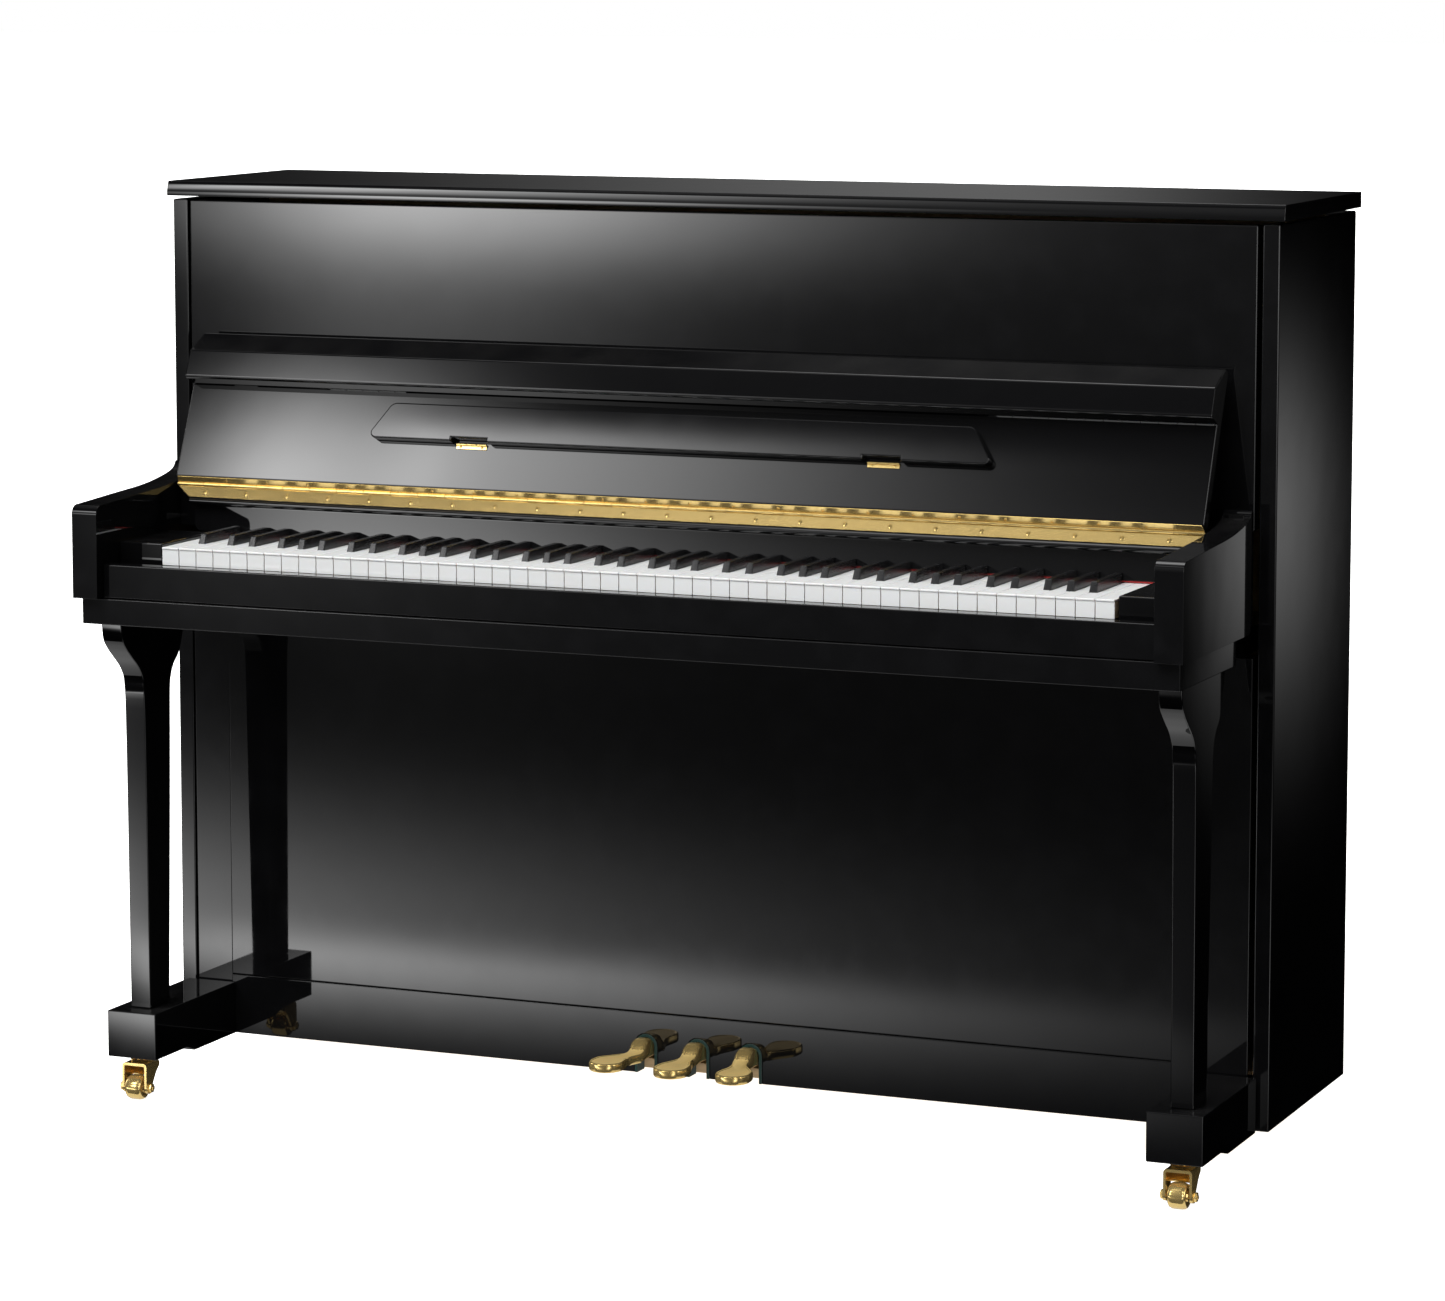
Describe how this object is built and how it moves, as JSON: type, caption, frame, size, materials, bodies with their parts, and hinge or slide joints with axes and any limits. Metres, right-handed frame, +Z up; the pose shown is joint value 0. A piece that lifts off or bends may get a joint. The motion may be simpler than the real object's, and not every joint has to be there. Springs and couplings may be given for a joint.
{
  "type": "upright piano",
  "caption": "Upright piano with gloss black cabinet, full keyboard, opening key cover and lid, folding music desk, brass pedals and casters.",
  "frame": {"origin": "on the floor, under the middle of the piano's overall box", "axes": "+X from the bass end to the treble end of the keyboard, +Y from the player to the wall, +Z up"},
  "size_m": [1.4692, 0.617, 1.14],
  "materials": {
    "black_lacquer": "mirror-gloss black polyester lacquer on wood",
    "brass": "polished, with light wear",
    "white_keys": "gloss white key covering",
    "black_keys": "satin black",
    "bare_spruce": "sanded, clear varnish",
    "bare_maple": "sanded",
    "iron_plate_gold": "bronze-gold paint on cast iron",
    "steel_wire": "bright drawn wire",
    "red_felt": "pressed wool felt",
    "action_felt": "pressed wool felt on maple"
  },
  "bodies": {
    "cabinet": {"action_rack": "bare_maple", "back_frame": "bare_spruce", "bottom_board": "bare_spruce", "fallboard_hinge_front_leaf": "brass", "iron_plate": "iron_plate_gold", "key_bed": "black_lacquer", "key_frame": "bare_maple", "key_slip": "black_lacquer", "left_arm": "black_lacquer", "left_key_block": "black_lacquer", "left_leg": "black_lacquer", "left_side_panel": "black_lacquer", "left_stile": "black_lacquer", "left_toe_block": "black_lacquer", "lid_hinge": "brass", "lower_panel": "black_lacquer", "nameboard": "black_lacquer", "nameboard_felt": "red_felt", "pedal_rail": "black_lacquer", "right_arm": "black_lacquer", "right_key_block": "black_lacquer", "right_leg": "black_lacquer", "right_side_panel": "black_lacquer", "right_stile": "black_lacquer", "right_toe_block": "black_lacquer", "soundboard": "bare_spruce", "strings": "steel_wire", "upper_panel": "black_lacquer"},
    "lid": {"top_lid": "black_lacquer"},
    "fallboard": {"fallboard": "black_lacquer", "fallboard_hinge_rear_leaf": "brass", "left_music_desk_hinge": "brass", "right_music_desk_hinge": "brass"},
    "music_desk": {"music_desk": "black_lacquer"},
    "hammers": {"hammer_set": "action_felt"},
    "dampers": {"damper_set": "action_felt"},
    "muffler": {"muffler_rail": "action_felt"},
    "left_pedal": {"left_pedal": "brass"},
    "middle_pedal": {"middle_pedal": "brass"},
    "right_pedal": {"right_pedal": "brass"},
    "front_left_swivel": {"front_left_caster_yoke": "brass"},
    "front_left_wheel": {"front_left_caster_wheel": "brass"},
    "front_right_swivel": {"front_right_caster_yoke": "brass"},
    "front_right_wheel": {"front_right_caster_wheel": "brass"},
    "rear_left_swivel": {"rear_left_caster_yoke": "brass"},
    "rear_left_wheel": {"rear_left_caster_wheel": "brass"},
    "rear_right_swivel": {"rear_right_caster_yoke": "brass"},
    "rear_right_wheel": {"rear_right_caster_wheel": "brass"},
    "bass_naturals": {"bass_naturals": "white_keys"},
    "bass_sharps": {"bass_sharps": "black_keys"},
    "treble_naturals": {"treble_naturals": "white_keys"},
    "treble_sharps": {"treble_sharps": "black_keys"},
    "key_C4": {"key_C4": "white_keys"},
    "key_Cs4": {"key_Cs4": "black_keys"},
    "key_D4": {"key_D4": "white_keys"},
    "key_Ds4": {"key_Ds4": "black_keys"},
    "key_E4": {"key_E4": "white_keys"},
    "key_F4": {"key_F4": "white_keys"},
    "key_Fs4": {"key_Fs4": "black_keys"},
    "key_G4": {"key_G4": "white_keys"}
  },
  "joints": [
    {"name": "lid_hinge", "type": "hinge", "parent": "cabinet", "child": "lid", "pos_m": [0, 0.3055, 1.1187], "axis": [-1, 0, 0], "range_deg": [0, 95]},
    {"name": "fallboard_hinge", "type": "hinge", "parent": "cabinet", "child": "fallboard", "pos_m": [0, -0.1105, 0.766], "axis": [1, 0, 0], "range_deg": [0, 117]},
    {"name": "music_desk_hinge", "type": "hinge", "parent": "fallboard", "child": "music_desk", "pos_m": [0, -0.09478, 0.82905], "axis": [-1, 0, 0], "range_deg": [-90, 0]},
    {"name": "left_pedal_pivot", "type": "hinge", "parent": "cabinet", "child": "left_pedal", "pos_m": [-0.07, 0.0715, 0.078], "axis": [1, 0, 0], "range_deg": [0, 4.2], "stiffness_Nm_per_rad": 14, "springref_deg": -17.19},
    {"name": "middle_pedal_pivot", "type": "hinge", "parent": "cabinet", "child": "middle_pedal", "pos_m": [0, 0.0715, 0.078], "axis": [1, 0, 0], "range_deg": [0, 4.2], "stiffness_Nm_per_rad": 14, "springref_deg": -17.19},
    {"name": "right_pedal_pivot", "type": "hinge", "parent": "cabinet", "child": "right_pedal", "pos_m": [0.07, 0.0715, 0.078], "axis": [1, 0, 0], "range_deg": [0, 4.2], "stiffness_Nm_per_rad": 14, "springref_deg": -17.19},
    {"name": "hammer_shift", "type": "hinge", "parent": "cabinet", "child": "hammers", "pos_m": [0, 0.0915, 0.795], "axis": [-1, 0, 0], "range_deg": [0, 6.05]},
    {"name": "damper_lift", "type": "hinge", "parent": "cabinet", "child": "dampers", "pos_m": [0, 0.1325, 0.795], "axis": [1, 0, 0], "range_deg": [0, 5.05]},
    {"name": "muffler_drop", "type": "slide", "parent": "cabinet", "child": "muffler", "axis": [0, 0, -1], "range_m": [0, 0.0402]},
    {"name": "front_left_swivel_pin", "type": "hinge", "parent": "cabinet", "child": "front_left_swivel", "pos_m": [-0.682, -0.2005, 0.05], "axis": [0, 0, 1], "continuous": true},
    {"name": "front_left_axle", "type": "hinge", "parent": "front_left_swivel", "child": "front_left_wheel", "pos_m": [-0.682, -0.2145, 0.0155], "axis": [1, 0, 0], "continuous": true},
    {"name": "front_right_swivel_pin", "type": "hinge", "parent": "cabinet", "child": "front_right_swivel", "pos_m": [0.682, -0.2005, 0.05], "axis": [0, 0, 1], "continuous": true},
    {"name": "front_right_axle", "type": "hinge", "parent": "front_right_swivel", "child": "front_right_wheel", "pos_m": [0.682, -0.2145, 0.0155], "axis": [1, 0, 0], "continuous": true},
    {"name": "rear_left_swivel_pin", "type": "hinge", "parent": "cabinet", "child": "rear_left_swivel", "pos_m": [-0.64, 0.2715, 0.05], "axis": [0, 0, 1], "continuous": true},
    {"name": "rear_left_axle", "type": "hinge", "parent": "rear_left_swivel", "child": "rear_left_wheel", "pos_m": [-0.64, 0.2575, 0.0155], "axis": [1, 0, 0], "continuous": true},
    {"name": "rear_right_swivel_pin", "type": "hinge", "parent": "cabinet", "child": "rear_right_swivel", "pos_m": [0.64, 0.2715, 0.05], "axis": [0, 0, 1], "continuous": true},
    {"name": "rear_right_axle", "type": "hinge", "parent": "rear_right_swivel", "child": "rear_right_wheel", "pos_m": [0.64, 0.2575, 0.0155], "axis": [1, 0, 0], "continuous": true},
    {"name": "bass_naturals_press", "type": "hinge", "parent": "cabinet", "child": "bass_naturals", "pos_m": [0, -0.0435, 0.683], "axis": [1, 0, 0], "range_deg": [0, 2.66], "stiffness_Nm_per_rad": 14, "springref_deg": -8.59},
    {"name": "bass_sharps_press", "type": "hinge", "parent": "cabinet", "child": "bass_sharps", "pos_m": [0, -0.0435, 0.683], "axis": [1, 0, 0], "range_deg": [0, 2.66], "stiffness_Nm_per_rad": 8, "springref_deg": -8.59},
    {"name": "treble_naturals_press", "type": "hinge", "parent": "cabinet", "child": "treble_naturals", "pos_m": [0, -0.0435, 0.683], "axis": [1, 0, 0], "range_deg": [0, 2.66], "stiffness_Nm_per_rad": 14, "springref_deg": -8.59},
    {"name": "treble_sharps_press", "type": "hinge", "parent": "cabinet", "child": "treble_sharps", "pos_m": [0, -0.0435, 0.683], "axis": [1, 0, 0], "range_deg": [0, 2.66], "stiffness_Nm_per_rad": 8, "springref_deg": -8.59},
    {"name": "key_C4_press", "type": "hinge", "parent": "cabinet", "child": "key_C4", "pos_m": [0, -0.0435, 0.683], "axis": [1, 0, 0], "range_deg": [0, 2.66], "stiffness_Nm_per_rad": 0.6, "springref_deg": -8.59},
    {"name": "key_Cs4_press", "type": "hinge", "parent": "cabinet", "child": "key_Cs4", "pos_m": [0, -0.0435, 0.683], "axis": [1, 0, 0], "range_deg": [0, 2.66], "stiffness_Nm_per_rad": 0.6, "springref_deg": -8.59},
    {"name": "key_D4_press", "type": "hinge", "parent": "cabinet", "child": "key_D4", "pos_m": [0, -0.0435, 0.683], "axis": [1, 0, 0], "range_deg": [0, 2.66], "stiffness_Nm_per_rad": 0.6, "springref_deg": -8.59},
    {"name": "key_Ds4_press", "type": "hinge", "parent": "cabinet", "child": "key_Ds4", "pos_m": [0, -0.0435, 0.683], "axis": [1, 0, 0], "range_deg": [0, 2.66], "stiffness_Nm_per_rad": 0.6, "springref_deg": -8.59},
    {"name": "key_E4_press", "type": "hinge", "parent": "cabinet", "child": "key_E4", "pos_m": [0, -0.0435, 0.683], "axis": [1, 0, 0], "range_deg": [0, 2.66], "stiffness_Nm_per_rad": 0.6, "springref_deg": -8.59},
    {"name": "key_F4_press", "type": "hinge", "parent": "cabinet", "child": "key_F4", "pos_m": [0, -0.0435, 0.683], "axis": [1, 0, 0], "range_deg": [0, 2.66], "stiffness_Nm_per_rad": 0.6, "springref_deg": -8.59},
    {"name": "key_Fs4_press", "type": "hinge", "parent": "cabinet", "child": "key_Fs4", "pos_m": [0, -0.0435, 0.683], "axis": [1, 0, 0], "range_deg": [0, 2.66], "stiffness_Nm_per_rad": 0.6, "springref_deg": -8.59},
    {"name": "key_G4_press", "type": "hinge", "parent": "cabinet", "child": "key_G4", "pos_m": [0, -0.0435, 0.683], "axis": [1, 0, 0], "range_deg": [0, 2.66], "stiffness_Nm_per_rad": 0.6, "springref_deg": -8.59}
  ],
  "couplings": [
    {"joint": "hammer_shift", "follows": "left_pedal_pivot", "ratio": 1.4286},
    {"joint": "muffler_drop", "follows": "middle_pedal_pivot", "m_per_rad": 0.54567},
    {"joint": "damper_lift", "follows": "right_pedal_pivot", "ratio": 1.1905}
  ]
}
